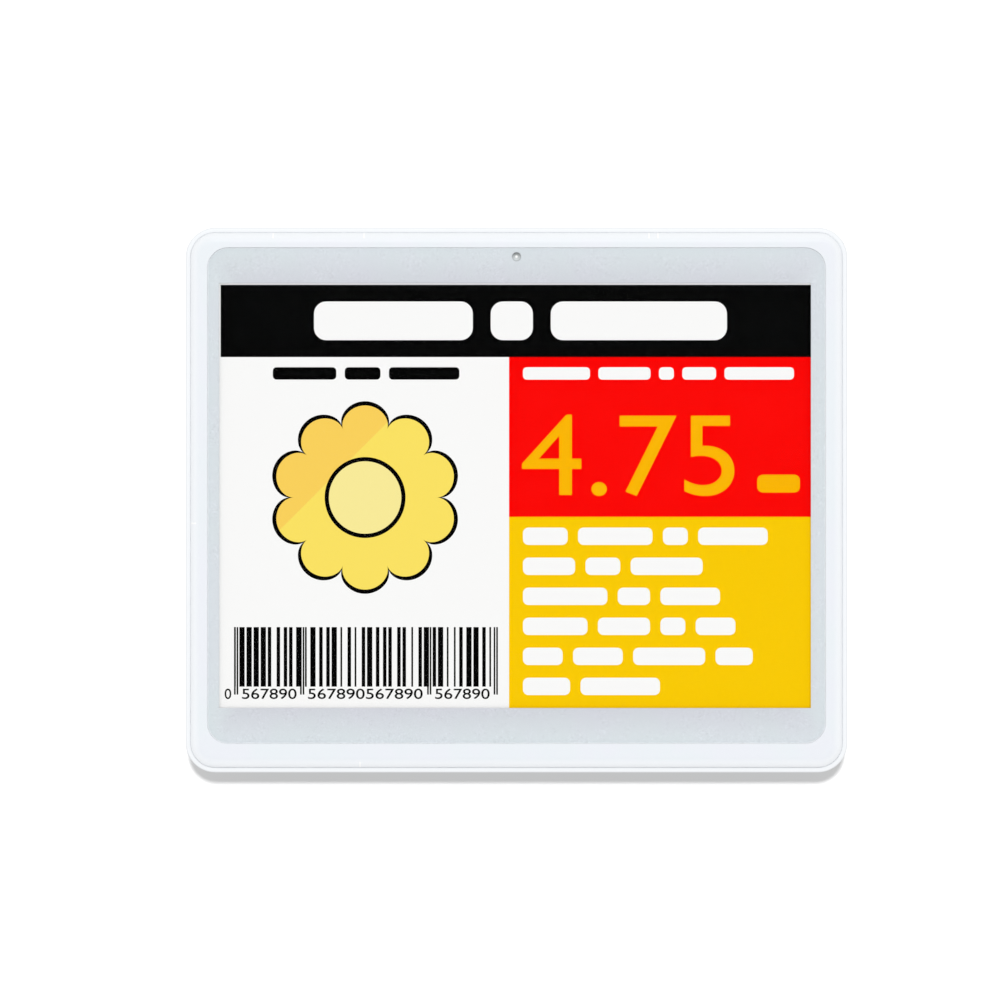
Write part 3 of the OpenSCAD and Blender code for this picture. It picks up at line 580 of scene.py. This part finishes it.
def pipe_plastic():
    """The light pipe's clear acrylic, with painted shade on its upper side and a painted highlight in its
    middle.
    """
    material, tree, shader = finish_of("pipe_plastic", roughness=0.15, specular=0.15)
    low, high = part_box("light_pipe")
    middle = (low + high) / 2
    x, z = across_and_up(tree)
    across, up = in_mm(tree, x, middle.x), in_mm(tree, z, middle.z)
    # Painted shade: the upper side is darker.
    colour = paint(tree, (0.66, 0.7, 0.71), (0.26, 0.275, 0.275), ramp(tree, up, -0.7, 0.8))
    # Painted highlight: a bright spot in the middle.
    point = ramp(tree, distance(tree, across, up), 0.42, 0.08)
    coat(tree, shader, paint(tree, colour, (0.97, 0.98, 0.97), point))
    roughen(tree, shader, noise(tree, 2500, 1), 0.03, 0.01 * MM)
    return material


FINISHES = [
    (shell_plastic(), ["rear_housing", "cassette_left", "cassette_right"]),
    (frame_plastic(), ["front_frame"]),
    (lens_plastic(), ["window_lens"]),
    (mask_ink(), ["mask_print"]),
    (display_ink(), ["display_film"]),
    (panel_back(), ["display_glass"]),
    (pipe_plastic(), ["light_pipe"]),
    (
        moulded("black_foam", (0.022, 0.022, 0.025), 0.9, 0.2, 3000, 0.06 * MM, 0.6),
        ["lens_tape", "display_gasket", "display_tape"],
    ),
    (
        moulded("chip_case", (0.018, 0.018, 0.02), 0.55, 0.1, 6000),
        ["driver_chip", "radio_chip", "memory_chip", "boost_coil"],
    ),
    (tail_film(), ["display_flex"]),
    (moulded("carrier_plastic", (0.16, 0.17, 0.185), 0.5), ["display_carrier"]),
    (board_laminate(), ["circuit_board"]),
    (
        moulded("cream_plastic", (0.72, 0.64, 0.46), 0.45),
        ["capacitors", "flex_connector", "indicator_led"],
    ),
    (
        plated_metal(),
        ["board_screws", "crystals", "board_antenna", "battery_contacts",
         "link_strip_left", "link_strip_right"],
    ),
    (cell_steel(), ["cells_left", "cells_right"]),
]
for finish, names in FINISHES:
    for name in names:
        piece = nodes[name]
        if not piece.material_slots:
            piece.data.materials.append(finish)
        for place in piece.material_slots:
            place.material = finish


# Wall

WALL_SIZE = 6.0
WALL_GAP = 0.2 * MM
UPRIGHT = Matrix.Rotation(math.radians(90), 4, "X")


def wall_paint():
    """White paint that shows from the front only, so the label's back can be looked at."""
    material = bpy.data.materials.new("wall_paint")
    material.use_nodes = True
    tree = material.node_tree
    tree.nodes.clear()
    end = tree.nodes.new("ShaderNodeOutputMaterial")
    chalk = tree.nodes.new("ShaderNodeBsdfDiffuse")
    chalk.inputs["Color"].default_value = (0.62, 0.62, 0.62, 1)
    glow = tree.nodes.new("ShaderNodeEmission")
    glow.inputs["Strength"].default_value = 0.045
    both = tree.nodes.new("ShaderNodeAddShader")
    tree.links.new(chalk.outputs[0], both.inputs[0])
    tree.links.new(glow.outputs[0], both.inputs[1])
    clear = tree.nodes.new("ShaderNodeBsdfTransparent")
    facing = tree.nodes.new("ShaderNodeNewGeometry")
    side = tree.nodes.new("ShaderNodeMixShader")
    tree.links.new(facing.outputs["Backfacing"], side.inputs[0])
    tree.links.new(both.outputs[0], side.inputs[1])
    tree.links.new(clear.outputs[0], side.inputs[2])
    tree.links.new(side.outputs[0], end.inputs[0])
    return material


def hang_wall():
    """A flat wall just behind the label, seen by the camera and left out of the light on the label."""
    shape = bmesh.new()
    bmesh.ops.create_grid(shape, x_segments=1, y_segments=1, size=WALL_SIZE / 2)
    behind = Matrix.Translation((0, cad_high.y + WALL_GAP, 0))
    bmesh.ops.transform(shape, verts=shape.verts, matrix=behind @ UPRIGHT)
    mesh = bpy.data.meshes.new("wall")
    shape.to_mesh(mesh)
    shape.free()
    mesh.materials.append(wall_paint())
    piece = bpy.data.objects.new("wall", mesh)
    bpy.context.scene.collection.objects.link(piece)
    piece.visible_shadow = False
    piece.visible_diffuse = False
    piece.visible_glossy = False
    piece.visible_transmission = False
    return piece


wall = hang_wall()


# Light and camera

FROM_ABOVE = (0.0, 1.0, -0.3)
ROOM_LIGHT = 0.88
BACKDROP = 1.0


def sun(name, direction, strength, angle):
    """A sun lamp that shines along a direction, its apparent width given in degrees."""
    lamp = bpy.data.lights.new(name, "SUN")
    lamp.energy = strength
    lamp.angle = math.radians(angle)
    holder = bpy.data.objects.new(name, lamp)
    bpy.context.scene.collection.objects.link(holder)
    holder.rotation_mode = "QUATERNION"
    holder.rotation_quaternion = Vector(direction).to_track_quat("-Z", "Y")
    return holder


def lights_only(lamp, piece, wanted):
    """Keeps a lamp to one piece of the stage, or keeps it off that piece."""
    group = bpy.data.collections.new(lamp.name + "_reach")
    group.objects.link(piece)
    group.collection_objects[0].light_linking.link_state = "INCLUDE" if wanted else "EXCLUDE"
    lamp.light_linking.receiver_collection = group


# The wall has a lamp of its own, so that its shadow is as deep as in the photograph
lights_only(sun("key", FROM_ABOVE, 0.6, 6), wall, False)
lights_only(sun("wall_light", FROM_ABOVE, 3.9, 8), wall, True)
sun("behind", (0.35, -1.0, -0.6), 0.42, 6)

world = bpy.data.worlds.new("studio")
bpy.context.scene.world = world
world.use_nodes = True
sky = world.node_tree
background = sky.nodes["Background"]
ray = sky.nodes.new("ShaderNodeLightPath")
seen = either(sky, [ray.outputs[kind] for kind in ("Is Camera Ray", "Is Glossy Ray", "Is Transmission Ray")])
background.inputs["Color"].default_value = (1, 1, 1, 1)
sky.links.new(spread(sky, seen, ROOM_LIGHT, BACKDROP), background.inputs["Strength"])

# The photograph's frame: its scale, and how many pixels the label lies right of the frame's middle
PIXEL = 0.2013 * MM
PIXELS_WIDE = 1000
LABEL_RIGHT_OF_MIDDLE = 16.5
DISTANCE = 1.2
SENSOR = 36
camera = bpy.data.cameras.new("camera")
camera.sensor_width = SENSOR
camera.lens = SENSOR * DISTANCE / (PIXELS_WIDE * PIXEL)
viewer = bpy.data.objects.new("camera", camera)
bpy.context.scene.collection.objects.link(viewer)
viewer.location = (-LABEL_RIGHT_OF_MIDDLE * PIXEL, cad_low.y - DISTANCE, 0.0)
viewer.rotation_euler = (math.radians(90), 0, 0)
bpy.context.scene.camera = viewer
bpy.context.scene.view_settings.view_transform = "Standard"
